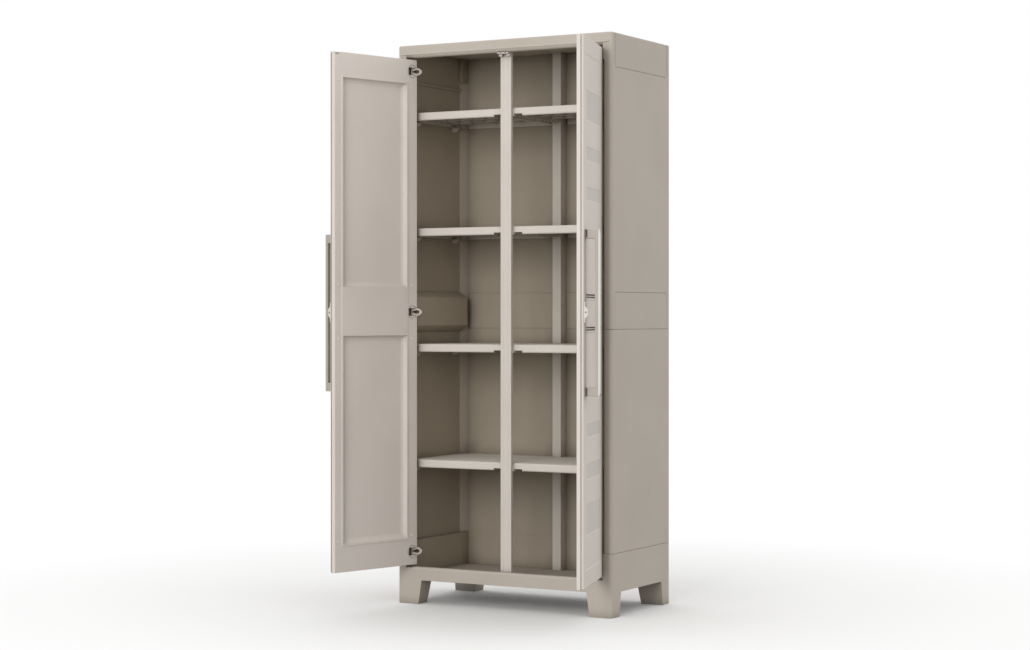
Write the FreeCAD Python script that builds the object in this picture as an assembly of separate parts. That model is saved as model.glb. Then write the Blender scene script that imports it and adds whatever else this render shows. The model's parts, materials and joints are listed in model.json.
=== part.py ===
import FreeCAD, Part
import math
import os

# Garden storage cabinet of moulded resin, all sizes in millimetres.
# Frame: X to the right, Y to the back, Z up. The origin is on the floor, under the middle of the carcass.

# carcass
width = 784.0
depth = 420.0
height = 1820.0
corner_radius = 12.0
hollow_round = 5.0
stile_back_round = 2.0
skin = 2.5
stile_width = 32.0
stile_depth = 45.0
stile_round = 8.0
side_wall = 16.0
rear_flange_width = 27.0
rear_flange_depth = 53.0
rear_wall = 12.0

# base unit with its feet
foot_height = 77.0
foot_top_x = 90.0
foot_bottom_x = 78.0
foot_top_y = 64.0
foot_bottom_y = 54.0
foot_wall = 3.5
floor_rise = 13.0
floor_thickness = 4.0
front_rail_height = 30.0
front_rail_thickness = 18.0
rail_round = 7.0
base_top = 200.0
base_step = 13.0
floor_rib = 2.5
floor_rib_count = 9

# joints between the wall panels, with the tabs that run past them
joint_over_shelf = 50.5
middle_tab_height = 115.0
upper_tab_height = 22.0
tab_front_margin = 21.0
tab_rear_margin = 28.0
tab_round = 10.0
tab_gap = 0.8
joint_reveal = 1.2
band_below_joint = 13.0
band_above_joint = 123.0
band_bevel_below = 23.0
band_bevel_above = 20.0
band_depth = 30.0
band_round = 3.0
strip_height = 13.0
strip_depth = 6.0
strip_bevel = 3.0
strip_round = 1.0

# top unit
top_unit_height = 85.0
fascia_height = 41.0
fascia_thickness = 16.0
fascia_round = 12.0
fascia_bead_radius = 4.0
fascia_bead_rise = 1.8
side_groove_width = 1.8
side_groove_depth = 1.2
side_groove_end = 4.0
roof_thickness = 5.0
roof_round = 5.0
roof_field_round = 10.0
roof_field_margin = 34.0
roof_field_rise = 2.0

# back panels
back_thickness = 5.0
back_groove_pitch = 46.0
back_groove_width = 12.0
back_groove_depth = 1.5
back_lap = 118.0
back_lap_rise = 2.0

# posts
front_post_width = 39.0
front_post_depth = 12.0
front_post_wall = 3.0
front_post_rim = 7.5
front_post_setback = 24.0
front_post_clip_rise = 4.5
front_post_groove = 1.5
front_post_groove_slope = 2.0
front_post_round = 1.5
clip_head_reach = 12.0
clip_head_gap = 0.5
clip_slot = 4.0
clip_slot_depth = 4.0
clip_slot_wall = 1.2
rear_post_width = 31.0
rear_post_wall = 3.0
peg_radius = 2.5
peg_hole_setback = 7.0

# shelves
shelf_count = 4
shelf_first = 468.0
shelf_top_space = 175.5
shelf_lip = 26.0
shelf_skin = 2.5
shelf_rib = 2.4
shelf_rib_height = 14.0
shelf_rib_pitch = 62.0
shelf_side_gap = 1.0
shelf_round = 5.0
shelf_notch_width = 104.0
shelf_notch_height = 7.0
shelf_behind_post = 2.0
shelf_back_gap = 2.0
shelf_rib_margin = 2.0
beam_width = 44.0
beam_height = 20.0
beam_wall = 3.0
beam_tooth_pitch = 22.0
beam_tooth = 9.0
beam_tooth_height = 7.0
ledge_length = 34.0
ledge_reach = 12.0
ledge_height = 14.0
ledge_toe = 3.0
ledge_lip = 4.0
ledge_margin = 40.0
peg_clearance = 0.3

# doors
door_side_gap = 1.5
door_middle_gap = 2.0
door_bottom_gap = 7.0
door_top_gap = 6.5
door_thickness = 22.0
door_skin_lip = 6.0
door_groove = 3.5
door_groove_depth = 2.5
door_wall = 2.4
door_round = 6.0
door_end_round = 3.0
inner_round = 3.0
frame_wall = 2.4
panel_hinge_margin = 47.0
panel_free_margin = 37.0
panel_recess = 12.0
panel_bevel = 16.0
panel_edge_draw = 2.0
panel_edge_depth = 5.5
panel_cove_draw = 7.0
panel_cove_depth = 9.5
field_rise = 1.2
field_border = 7.0
panel_top_margin = 79.0
panel_bottom_margin = 88.0
middle_rail_bottom = 875.0
middle_rail_top = 1030.0
left_opening = 105.0
right_opening = 107.5
largest_opening = 110.0

# raised field and sunk fields on the outer face of a door
outer_field_margin = 28.0
outer_field_end = 52.0
outer_field_sink = 0.9
outer_field_slope = 3.0
sunk_margin = 26.0
sunk_depth = 0.8
sunk_slope = 2.0
# the lower edge of each sunk field, from the door's top or from its bottom, and its height
upper_sunk_fields = ((249.0, 90.0), (369.0, 42.0), (489.0, 42.0))
lower_sunk_fields = ((447.0, 42.0), (321.0, 48.0), (155.0, 94.0))

# double vent slots over and under the lock, each pair in a strip that is left standing
vent_margin = 46.0
vent_offsets = (45.5, 52.5)
vent_height = 4.0
vent_frame = 6.0

# hinges
hinge_from_bottom = 43.0
hinge_from_top = 37.5
hinge_over_lock = 2.0
pin_inset = 13.5
pin_depth = 10.0
pin_radius = 2.0
pin_clearance = 0.05
pin_hold = 8.0
arm_height = 24.0
arm_thickness = 4.8
arm_gap = 0.6
arm_swing_length = 30.0
arm_swing_lag = 123.0
arm_swing_room = 8.0
eye_radius = 4.4
pocket_length = 38.0
pocket_margin = 4.0
arm_reach_x = 26.0
arm_reach_y = 17.0
arm_back = 28.0
arm_bow = 0.55
arm_window_start = 8.0
arm_return_height = 10.0
arm_screw_margin = 5.0
arm_window_height = 12.0
arm_window_length = 17.0
arm_slot_height = 6.0
arm_foot_length = 11.0
arm_foot_height = 44.0
arm_foot_thickness = 4.0
arm_shelf_gap = 1.5
cup_radius = 19.0
cup_edge = 3.0
cup_rise = 1.2
cup_wall = 2.2
pin_end_gap = 2.0
housing_back = 5.0
housing_gap = 0.3
screw_radius = 2.2
screw_head_radius = 4.2
screw_head_rise = 1.4
screw_length = 9.0

# handles
handle_bottom = 699.0
handle_top = 1196.0
handle_edge = 18.0
handle_bar_width = 24.0
handle_bar_thickness = 14.0
handle_reach = 44.5
handle_post_height = 27.0
handle_round = 6.0
handle_edge_round = 5.0
handle_screw_length = 12.0
foot_slot_width = 6.5
foot_slot_depth = 7.0
foot_slot_margin = 2.5
foot_slot_lift = 1.5

# lock plate with the padlock eye
lock_middle = 949.0
lock_height = 64.0
lock_edge = 3.0
lock_width = 22.0
lock_round = 4.0
lock_thickness = 3.0
eye_reach = 12.5
eye_thickness = 4.5
eye_height = 46.0
eye_tip_height = 16.0
eye_hole_radius = 3.0
eye_hole_setback = 6.0
eye_round = 5.0

# catches that hold the closed doors, and frame screws
catch_inset = 12.5
catch_width = 12.0
catch_thickness = 8.0
catch_gap = 2.0
catch_side_gap = 4.0
catch_engage = 6.0
frame_screw_inset = 24.0
frame_screw_far = 19.0
frame_screw_above = 8.0
frame_screw_below = 9.0
frame_screw_wall = 2.0
frame_screw_flare = 1.5
frame_screw_radius = 4.5
frame_screw_rise = 1.0

# worked-out places
half_width = width / 2
half_depth = depth / 2
front = -half_depth
floor_top = foot_height + floor_rise
front_rail_top = floor_top + front_rail_height
fascia_bottom = height - fascia_height
upper_joint = height - top_unit_height
upper_tab_bottom = upper_joint - upper_tab_height
shelf_pitch = (fascia_bottom - shelf_top_space - shelf_first) / (shelf_count - 1)
middle_joint = shelf_first + shelf_pitch + joint_over_shelf
middle_tab_top = middle_joint + middle_tab_height
band_bottom = middle_joint - band_below_joint
band_top = middle_joint + band_above_joint
band_face_bottom = band_bottom + band_bevel_below
band_face_top = band_top - band_bevel_above
opening_half = half_width - stile_width
inner_half = half_width - side_wall
base_inner_half = inner_half - base_step
rear_inner = half_depth - rear_wall
flange_front = half_depth - rear_flange_depth
stile_back = front + stile_depth
door_width = opening_half - door_side_gap - door_middle_gap / 2
door_bottom = front_rail_top + door_bottom_gap
door_top = fascia_bottom - door_top_gap
hinge_heights = (door_bottom + hinge_from_bottom, lock_middle + hinge_over_lock, door_top - hinge_from_top)
door_inner = front + door_thickness
pin_x = -(opening_half - door_side_gap) + pin_inset
pin_y = front + pin_depth
post_front = front + front_post_setback
post_back = post_front + front_post_depth
shelf_front = post_back + shelf_behind_post
shelf_back = rear_inner - shelf_back_gap
hinge_edge = -(opening_half - door_side_gap)
free_edge = hinge_edge + door_width
frame_depth = door_thickness - door_skin_lip - door_groove
roof_under = height - roof_thickness
pin_length = arm_height + 2 * (arm_gap + pin_hold - pin_end_gap)
UP = FreeCAD.Vector(0, 0, 1)


def at(x, y, z):
    return FreeCAD.Vector(x, y, z)


def block(x0, x1, y0, y1, z0, z1):
    return Part.makeBox(x1 - x0, y1 - y0, z1 - z0, at(x0, y0, z0))


def rod(x, y, z, radius, length, direction):
    return Part.makeCylinder(radius, length, at(x, y, z), direction)


def outline(points):
    """A flat face in XY from corner points (x, y) or (x, y, radius), where a radius rounds the corner."""
    count = len(points)
    ends = []
    for i, point in enumerate(points):
        corner = at(point[0], point[1], 0)
        radius = point[2] if len(point) > 2 else 0
        if radius <= 0:
            ends.append((corner, None, corner))
            continue
        before = at(*points[i - 1][:2], 0) - corner
        after = at(*points[(i + 1) % count][:2], 0) - corner
        half = before.getAngle(after) / 2
        before.normalize()
        after.normalize()
        run = radius / math.tan(half)
        inward = before + after
        inward.normalize()
        middle = corner + inward * (radius / math.sin(half) - radius)
        ends.append((corner + before * run, middle, corner + after * run))
    edges = []
    for i, (start, middle, stop) in enumerate(ends):
        if middle is not None:
            edges.append(Part.Arc(start, middle, stop).toShape())
        following = ends[(i + 1) % count][0]
        if stop.distanceToPoint(following) > 1e-6:
            edges.append(Part.LineSegment(stop, following).toShape())
    return Part.Face(Part.Wire(edges))


def prism(points, z0, z1):
    """An outline in XY raised from z0 to z1."""
    shape = outline(points).extrude(at(0, 0, z1 - z0))
    shape.translate(at(0, 0, z0))
    return shape


def slab_xz(points, y0, y1):
    """An outline given as (x, z) that runs from y0 to y1."""
    shape = outline(points).extrude(at(0, 0, y1 - y0))
    shape.rotate(at(0, 0, 0), at(1, 0, 0), 90)
    shape.translate(at(0, y1, 0))
    return shape


def slab_yz(points, x0, x1):
    """An outline given as (y, z) that runs from x0 to x1."""
    shape = outline(points).extrude(at(0, 0, x1 - x0))
    shape.rotate(at(0, 0, 0), at(1, 1, 1), 120)
    shape.translate(at(x0, 0, 0))
    return shape


def rectangle(x0, x1, y0, y1, radius=0.0):
    return [(x0, y0, radius), (x1, y0, radius), (x1, y1, radius), (x0, y1, radius)]


def frustum_y(x0, x1, z0, z1, slope, y0, y1):
    """A rectangle at y0 that draws in by slope on every side at y1."""
    rings = []
    for y, inset in ((y0, 0.0), (y1, slope)):
        corners = [at(x0 + inset, y, z0 + inset), at(x1 - inset, y, z0 + inset),
                   at(x1 - inset, y, z1 - inset), at(x0 + inset, y, z1 - inset)]
        rings.append(Part.makePolygon(corners + corners[:1]))
    return Part.makeLoft(rings, True, True)


def join(shapes):
    body = shapes[0].fuse(shapes[1:]) if len(shapes) > 1 else shapes[0]
    return body.removeSplitter()


def mirrored(shape):
    return shape.mirror(at(0, 0, 0), at(1, 0, 0))


def save(name, shape):
    solids = shape.Solids
    result = solids[0] if len(solids) == 1 else Part.makeCompound(solids)
    if not result.isValid():
        raise ValueError(name + " is not valid")
    result.exportStep("parts/" + name + ".step")
    box = result.BoundBox
    print(name, len(solids), "solids", round(result.Volume / 1000), "cm3",
          [round(v, 1) for v in (box.XMin, box.YMin, box.ZMin, box.XMax, box.YMax, box.ZMax)])


def carcass_block(z0, z1):
    return prism(rectangle(-half_width, half_width, front, half_depth, corner_radius), z0, z1)


def reveal(z):
    """A shallow step round the outside of the carcass, just under a joint."""
    inner = prism(rectangle(-half_width + joint_reveal, half_width - joint_reveal, front + joint_reveal,
                            half_depth - joint_reveal, corner_radius - joint_reveal), z - joint_reveal, z)
    return carcass_block(z - joint_reveal, z).cut(inner)


def foot(inset):
    """The front left foot, or its hollow when inset is the wall, tapered on its two inner faces."""
    top = floor_top - floor_thickness if inset == 0 else foot_height - foot_wall
    low = 0.0 if inset == 0 else -1.0
    drop = (foot_top_x - foot_bottom_x) / foot_height
    drop_y = (foot_top_y - foot_bottom_y) / foot_height
    in_x = slab_xz([(-half_width + inset, low), (-half_width + foot_bottom_x - inset + drop * low, low),
                    (-half_width + foot_bottom_x - inset + drop * top, top), (-half_width + inset, top)],
                   front - 1, 0)
    in_y = slab_yz([(front + inset, low), (front + foot_bottom_y - inset + drop_y * low, low),
                    (front + foot_bottom_y - inset + drop_y * top, top), (front + inset, top)],
                   -half_width - 1, 0)
    rim = prism(rectangle(-half_width + inset, 0, front + inset, 0, corner_radius - inset), low, top)
    return in_x.common(in_y).common(rim)


def four_ways(shape):
    """The shape at the front left corner, repeated at all four corners."""
    right = mirrored(shape)
    back = shape.mirror(at(0, 0, 0), at(0, 1, 0))
    return [shape, right, back, mirrored(back)]


def base_unit():
    body = carcass_block(foot_height, base_top)
    # the front opening between the stiles, over the front rail, and the tray behind it
    cuts = [block(-opening_half, opening_half, front - 1, stile_back, front_rail_top, base_top + 1),
            block(-opening_half, opening_half, front + front_rail_thickness, stile_back,
                  floor_top, base_top + 1),
            block(-base_inner_half, base_inner_half, stile_back, flange_front, floor_top, base_top + 1),
            block(-half_width + rear_flange_width, half_width - rear_flange_width,
                  flange_front - 1, rear_inner, floor_top, base_top + 1)]
    # hollows under the floor and up into the skirts
    under = floor_top - floor_thickness
    cuts.append(block(-base_inner_half, base_inner_half, front + front_rail_thickness, rear_inner,
                      foot_height - 1, under))
    for side in (-1, 1):
        outer = side * (half_width - skin)
        inner = side * (base_inner_half + skin)
        cuts.append(block(min(outer, inner), max(outer, inner), stile_back, flange_front,
                          foot_height - 1, base_top - skin))
    cuts.append(block(-opening_half, opening_half, front + skin, front + front_rail_thickness - skin,
                      foot_height - 1, front_rail_top - skin))
    cuts.append(block(-opening_half, opening_half, rear_inner + skin, half_depth - skin,
                      foot_height - 1, base_top - skin))
    body = body.cut(cuts)
    body = rounded_rail(body)
    ribs = []
    for i in range(-floor_rib_count // 2 + 1, floor_rib_count // 2 + 1):
        x = i * 2 * base_inner_half / (floor_rib_count + 1)
        ribs.append(block(x - floor_rib / 2, x + floor_rib / 2, front + front_rail_thickness, rear_inner,
                          foot_height, under))
    for i in (-1, 0, 1):
        y = i * depth / 5
        ribs.append(block(-base_inner_half, base_inner_half, y - floor_rib / 2, y + floor_rib / 2,
                          foot_height, under))
    body = join([body] + ribs + four_ways(foot(0)))
    return body.cut(four_ways(foot(foot_wall)) + [reveal(base_top)])


def rounded_rail(body):
    """The long upper edge at the front of the rail, rounded."""
    edges = [e for e in body.Edges
             if e.BoundBox.YMax < front + 0.01 and abs(e.BoundBox.ZMin - front_rail_top) < 0.01
             and abs(e.BoundBox.ZMax - front_rail_top) < 0.01 and e.Length > opening_half]
    return body.makeFillet(min(rail_round, front_rail_thickness / 2.2), edges) if edges else body


def side_section(z0, z1):
    """The left side wall between two heights: stile, double wall and rear flange, hollow all through."""
    out = -half_width
    inside = -inner_half
    section = prism([(out, front, corner_radius), (-opening_half, front, stile_round),
                     (-opening_half, stile_back, stile_back_round), (inside, stile_back),
                     (inside, flange_front), (out + rear_flange_width, rear_inner),
                     (out + rear_flange_width, half_depth), (out, half_depth, corner_radius)], z0, z1)
    hollows = [
        prism(rectangle(out + skin, -opening_half - skin, front + skin, stile_back - skin,
                        min(hollow_round, stile_width / 6)), z0 - 1, z1 + 1),
        block(out + skin, inside - skin, stile_back + skin, flange_front - skin, z0 - 1, z1 + 1),
        prism([(out + skin, flange_front + skin), (inside - skin, flange_front + skin),
               (out + rear_flange_width - skin * 2, rear_inner),
               (out + rear_flange_width - skin, half_depth - skin),
               (out + skin, half_depth - skin, min(hollow_round, rear_flange_width / 6))], z0 - 1, z1 + 1)]
    return section.cut(hollows)


def tab(z_joint, z_end, thickness, gap):
    """The outer skin of the left wall that runs past a joint as a tab with rounded corners."""
    y0 = front + tab_front_margin - gap
    y1 = half_depth - tab_rear_margin + gap
    z_far = z_end + gap if z_end > z_joint else z_end - gap
    if z_end > z_joint:
        shape = [(y0, z_joint), (y1, z_joint), (y1, z_far, tab_round), (y0, z_far, tab_round)]
    else:
        shape = [(y0, z_far, tab_round), (y1, z_far, tab_round), (y1, z_joint), (y0, z_joint)]
    return slab_yz(shape, -half_width, -half_width + thickness)


def side_lower():
    body = side_section(base_top, middle_joint)
    tongue = tab(middle_joint - skin, middle_tab_top, skin, 0.0)
    # the boxed band on the inner face that stiffens the joint
    wall = -inner_half
    band = slab_xz([(wall, band_bottom), (wall + band_depth, band_face_bottom, band_round),
                    (wall + band_depth, band_face_top, band_round), (wall, band_top)],
                   stile_back, flange_front)
    deep = wall + band_depth - skin
    hollow = slab_xz([(wall - 1, band_bottom + skin * 2), (deep, band_face_bottom + skin),
                      (deep, band_face_top - skin), (wall - 1, band_top - skin * 2)],
                     stile_back + skin, flange_front - skin)
    keep = side_section(base_top, middle_joint)
    return join([body, tongue, band.cut(hollow.cut(keep))]).cut(reveal(middle_joint))


def side_upper():
    wall = -inner_half
    # the strip along the inner face just under the upper joint's tab
    low = upper_tab_bottom - strip_height
    face = wall + strip_depth
    root = wall - skin / 2
    strip = slab_xz([(root, low), (wall, low), (face, low + strip_bevel, strip_round),
                     (face, upper_tab_bottom - strip_bevel, strip_round), (wall, upper_tab_bottom),
                     (root, upper_tab_bottom)], stile_back, flange_front)
    body = join([side_section(middle_joint, upper_joint), strip])
    return body.cut([tab(middle_joint - 1, middle_tab_top, skin, tab_gap),
                     tab(upper_joint + 1, upper_tab_bottom, skin, tab_gap)])


def back_panel(z0, z1, lap_above):
    """The left back panel, grooved on its rear face; the upper one laps the middle joint."""
    x0 = -half_width + rear_flange_width
    x1 = -door_middle_gap / 4
    body = block(x0, x1, rear_inner, rear_inner + back_thickness, z0, z1)
    grooves = []
    count = int((x1 - x0) // back_groove_pitch)
    for i in range(count):
        x = x0 + (x1 - x0) * (i + 0.5) / count
        grooves.append(block(x - back_groove_width / 2, x + back_groove_width / 2,
                             rear_inner + back_thickness - back_groove_depth,
                             rear_inner + back_thickness + 1, z0 + skin * 4, z1 - skin * 4))
    body = body.cut(grooves)
    if lap_above:
        lap = block(x0, x1, rear_inner + back_thickness - 0.01, half_depth, z0, z0 + back_lap)
        inner = block(x0, -rear_post_width / 2 - 1, rear_inner - back_lap_rise, rear_inner,
                      z0, z0 + back_lap)
        body = join([body, lap, inner])
    return body


def top_unit():
    body = carcass_block(upper_joint, height)
    rim = [e for e in body.Edges if e.BoundBox.ZMin > height - 0.01]
    body = body.makeFillet(min(roof_round, roof_thickness * 0.9), rim)
    fascia_back = front + fascia_thickness
    cuts = [block(-opening_half, opening_half, front - 1, stile_back, upper_joint - 1, fascia_bottom),
            block(-opening_half, opening_half, fascia_back, stile_back + 1, upper_joint - 1, roof_under),
            block(-inner_half, inner_half, stile_back, flange_front, upper_joint - 1, roof_under),
            block(-half_width + rear_flange_width, half_width - rear_flange_width,
                  flange_front - 1, rear_inner, upper_joint - 1, roof_under)]
    for side in (-1, 1):
        outer = side * (half_width - skin)
        inner = side * (inner_half + skin)
        cuts.append(block(min(outer, inner), max(outer, inner), stile_back + skin, flange_front - skin,
                          upper_joint - 1, roof_under - skin))
    cuts.append(block(-opening_half, opening_half, rear_inner + skin, half_depth - skin,
                      upper_joint - 1, roof_under - skin))
    body = body.cut(cuts)
    under = [e for e in body.Edges
             if abs(e.BoundBox.YMin - front) < 0.01 and e.BoundBox.YMax < front + 0.01
             and abs(e.BoundBox.ZMax - fascia_bottom) < 0.01 and e.Length > opening_half]
    body = body.makeFillet(min(fascia_round, fascia_thickness * 0.75), under) if under else body
    tabs = tab(upper_joint + skin, upper_tab_bottom, skin, 0.0)
    margin = roof_field_margin
    field = Part.makeBox(width - 2 * margin, depth - 2 * margin, roof_field_rise * 2,
                         at(-half_width + margin, front + margin, height - roof_field_rise * 2))
    edge = margin / 2
    rim = rectangle(-half_width + edge, half_width - edge, front + edge, half_depth - edge, roof_field_round)
    body = body.cut(prism(rim, height - roof_field_rise, height + 1))
    # a bead along the fascia, and a groove at each side of the side tabs
    bead_half = half_width - corner_radius
    bead = rod(-bead_half, front + fascia_bead_radius - fascia_bead_rise, fascia_bottom + fascia_round,
               fascia_bead_radius, 2 * bead_half, at(1, 0, 0))
    grooves = []
    for y in (front + tab_front_margin, half_depth - tab_rear_margin):
        groove = block(-half_width - 1, -half_width + side_groove_depth, y - side_groove_width / 2,
                       y + side_groove_width / 2, upper_tab_bottom - 1, height - side_groove_end)
        grooves += [groove, mirrored(groove)]
    return join([body, tabs, mirrored(tabs), field, bead]).cut(grooves)


def rear_post():
    half = rear_post_width / 2
    body = block(-half, half, flange_front, rear_inner, floor_top, roof_under)
    body = body.cut(block(-half + rear_post_wall, half - rear_post_wall, flange_front + rear_post_wall,
                          rear_inner + 1, floor_top - 1, roof_under + 1))
    holes = []
    z = shelf_first - shelf_pitch / 3
    while z < roof_under - shelf_pitch / 3:
        holes.append(rod(-half - 1, flange_front + peg_hole_setback, z, peg_radius,
                         rear_post_width + 2, at(1, 0, 0)))
        z += shelf_pitch / 3
    return body.cut(holes)


def front_post():
    half = front_post_width / 2
    rim = half - front_post_rim
    groove = rim - front_post_groove_slope
    groove_y = post_front + front_post_groove
    corner = front_post_round
    inside = half - front_post_wall
    inside_y = groove_y + front_post_wall
    section = [(-half, post_front, corner), (-rim, post_front, corner), (-groove, groove_y),
               (groove, groove_y), (rim, post_front, corner), (half, post_front, corner),
               (half, post_back), (inside, post_back), (inside, inside_y),
               (-inside, inside_y), (-inside, post_back), (-half, post_back)]
    body = prism(section, floor_top, roof_under)
    # the clip head that hooks over the fascia's lower edge, with its two slots
    hook_back = post_front + front_post_groove / 2
    hook_front = front + fascia_thickness - clip_head_reach
    hook_top = fascia_bottom - clip_head_gap
    hook = block(-half, half, hook_front, hook_back, hook_top - front_post_clip_rise, hook_top)
    hook_bottom = hook_top - front_post_clip_rise
    slots = [block(x - clip_slot / 2, x + clip_slot / 2, hook_front - 1, hook_front + clip_slot_depth,
                   hook_bottom + clip_slot_wall, hook_top - clip_slot_wall) for x in (-half / 2, half / 2)]
    return join([body, hook.cut(slots)] + catches())


def arm_rooms():
    """The room that the hinge arms keep clear, for a shelf that stands at the height of one."""
    rooms = []
    tall = arm_foot_height / 2 + arm_shelf_gap
    for z in hinge_heights:
        room = block(-opening_half, pin_x + arm_reach_x + arm_shelf_gap, post_front,
                     pin_y + arm_back + arm_foot_length / 2 + arm_shelf_gap, z - tall, z + tall)
        rooms += [room, mirrored(room)]
    return rooms


def shelf(top):
    """One full-width shelf: a skin with a front lip and side and rear edges, and ribs under it."""
    half = inner_half - shelf_side_gap
    flange = half_width - rear_flange_width - shelf_side_gap
    stile = opening_half - shelf_side_gap
    low = top - shelf_lip
    back_y = flange_front - shelf_side_gap
    post = rear_post_width / 2 + shelf_side_gap
    plan = [(-stile, shelf_front), (stile, shelf_front), (stile, stile_back + shelf_side_gap),
            (half, stile_back + shelf_side_gap), (half, back_y), (flange, back_y), (flange, shelf_back),
            (post, shelf_back), (post, back_y), (-post, back_y), (-post, shelf_back),
            (-flange, shelf_back), (-flange, back_y), (-half, back_y),
            (-half, stile_back + shelf_side_gap), (-stile, stile_back + shelf_side_gap)]
    body = prism(plan, low, top)
    edges = [e for e in body.Edges
             if e.BoundBox.YMax < shelf_front + 0.01 and e.Length > stile]
    body = body.makeFillet(min(shelf_round, shelf_lip / 3), edges)
    edge = shelf_skin
    hollow = block(-half + edge, half - edge, stile_back + shelf_side_gap + edge, back_y - edge,
                   low - 1, top - shelf_skin)
    front_hollow = block(-stile + edge, stile - edge, shelf_front + shelf_round + 1,
                         stile_back + shelf_side_gap + edge + 1, low - 1, top - shelf_skin)
    rear_hollows = [block(s * post + s * edge if s > 0 else -flange + edge,
                          flange - edge if s > 0 else -post - edge,
                          back_y - edge - 1, shelf_back - edge, low - 1, top - shelf_skin) for s in (-1, 1)]
    body = body.cut([hollow, front_hollow] + rear_hollows)
    # the lip is lower over the post, and the beam passes through the front and rear edges
    beam_half = beam_width / 2 + peg_clearance
    notch = shelf_notch_width / 2
    cuts = [block(-notch, notch, shelf_front - 1, shelf_front + shelf_round + 2,
                  low - 1, low + shelf_notch_height),
            block(-beam_half, beam_half, shelf_front - 1, shelf_back + 1, low - 1, low + beam_height)]
    cuts += arm_rooms()
    ribs = []
    rib_low = top - shelf_skin - shelf_rib_height
    count = int(half // shelf_rib_pitch)
    for i in range(1, count + 1):
        for side in (-1, 1):
            x = side * (beam_width / 2 + shelf_rib_margin + (half - beam_width / 2) * i / (count + 1))
            ribs.append(block(x - shelf_rib / 2, x + shelf_rib / 2, shelf_front + edge / 2,
                              back_y - edge / 2, rib_low, top - shelf_skin / 2))
    for i in (1, 2, 3):
        y = shelf_front + (back_y - shelf_front) * i / 4
        for s in (-1, 1):
            x0, x1 = sorted((s * (beam_width / 2 + shelf_rib_margin), s * (half - edge / 2)))
            ribs.append(block(x0, x1, y - shelf_rib / 2, y + shelf_rib / 2, rib_low, top - shelf_skin / 2))
    return join([body.cut(cuts)] + ribs)


def shelf_beam(top):
    """The channel under a shelf, from post to post, with a row of teeth on its underside."""
    low = top - shelf_lip
    z1 = low + beam_height - peg_clearance
    half = beam_width / 2
    body = block(-half, half, post_back, flange_front, low, z1)
    body = body.cut(block(-half + beam_wall, half - beam_wall, post_back + beam_wall,
                          flange_front - beam_wall, low - 1, z1 - beam_wall))
    notches = []
    y = post_back + beam_tooth_pitch
    while y < flange_front - beam_tooth_pitch / 2:
        notches.append(block(-half - 1, half + 1, y - beam_tooth / 2, y + beam_tooth / 2,
                             low - 1, low + beam_tooth_height))
        y += beam_tooth_pitch
    return body.cut(notches)


def ledges(top):
    """The two left ledges under one shelf, each with a round peg that presses into the wall."""
    made = []
    low = top - shelf_lip
    for y in (stile_back + ledge_margin, flange_front - ledge_margin):
        x0 = -inner_half
        wedge = slab_xz([(x0, low - ledge_height), (x0 + ledge_toe, low - ledge_height),
                         (x0 + ledge_reach, low - ledge_lip), (x0 + ledge_reach, low), (x0, low)],
                        y - ledge_length / 2, y + ledge_length / 2)
        peg = rod(x0 - skin / 2, y, low - ledge_height / 2, peg_radius, skin, at(1, 0, 0))
        made.append(join([wedge, peg]))
    return made


def ledge_holes(tops):
    """The blind holes in the left wall that take the ledges' pegs."""
    holes = []
    for top in tops:
        z = top - shelf_lip - ledge_height / 2
        for y in (stile_back + ledge_margin, flange_front - ledge_margin):
            holes.append(rod(-inner_half - skin / 2, y, z, peg_radius, skin, at(1, 0, 0)))
    return holes


def hinge_arm(z):
    """The left curved arm: an eye on the pin, a bow into the cabinet, and a foot on the stile."""
    half = arm_thickness / 2
    z0 = z - arm_height / 2
    px, py = pin_x, pin_y
    foot_x = -opening_half
    centre = [(px, py), (px + arm_reach_x, py + arm_reach_y), (px + arm_reach_x * arm_bow, py + arm_back),
              (foot_x, py + arm_back)]
    walls = []
    for i, ((xa, ya), (xb, yb)) in enumerate(zip(centre, centre[1:])):
        length = math.hypot(xb - xa, yb - ya)
        if i == 0:
            # the first wall ends in a half round as tall as the arm
            end = length - arm_height / 2
            piece = join([block(0, end, -half, half, z0, z0 + arm_height),
                          rod(end, -half, z, arm_height / 2, 2 * half, at(0, 1, 0))])
        else:
            piece = block(0, length, -half, half, z - arm_return_height / 2, z + arm_return_height / 2)
        piece.rotate(at(0, 0, 0), UP, math.degrees(math.atan2(yb - ya, xb - xa)))
        piece.translate(at(xa, ya, 0))
        walls.append(piece)
    knees = [rod(x, y, z - arm_return_height / 2, half, arm_return_height, UP) for x, y in centre[1:3]]
    eye = rod(px, py, z0, eye_radius, arm_height, UP)
    foot_plate = block(foot_x, foot_x + arm_foot_thickness, py + arm_back - arm_foot_length / 2,
                       py + arm_back + arm_foot_length / 2,
                       z - arm_foot_height / 2, z + arm_foot_height / 2)
    body = join([eye] + walls + knees + [foot_plate])
    bore = rod(px, py, z0 - 1, pin_radius + pin_clearance, arm_height + 2, UP)
    # the window in the first wall, with round ends, and the slot that parts the eye into two
    window_round = arm_window_height / 2
    window_end = arm_window_start + arm_window_length
    window = join([block(arm_window_start + window_round, window_end - window_round, -half - 1, half + 1,
                         z - window_round, z + window_round),
                   block(-eye_radius - 1, window_end - window_round, -eye_radius - 1, eye_radius + 1,
                         z - arm_slot_height / 2, z + arm_slot_height / 2)]
                  + [rod(x, -half - 1, z, window_round, 2 * half + 2, at(0, 1, 0))
                     for x in (arm_window_start + window_round, window_end - window_round)])
    window.rotate(at(0, 0, 0), UP, math.degrees(math.atan2(arm_reach_y, arm_reach_x)))
    window.translate(at(px, py, 0))
    screws = [rod(foot_x - 1, py + arm_back, z + s * (arm_foot_height / 2 - arm_screw_margin), screw_radius,
                  arm_foot_thickness + 2, at(1, 0, 0)) for s in (-1, 1)]
    return body.cut([bore, window] + screws)


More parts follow.
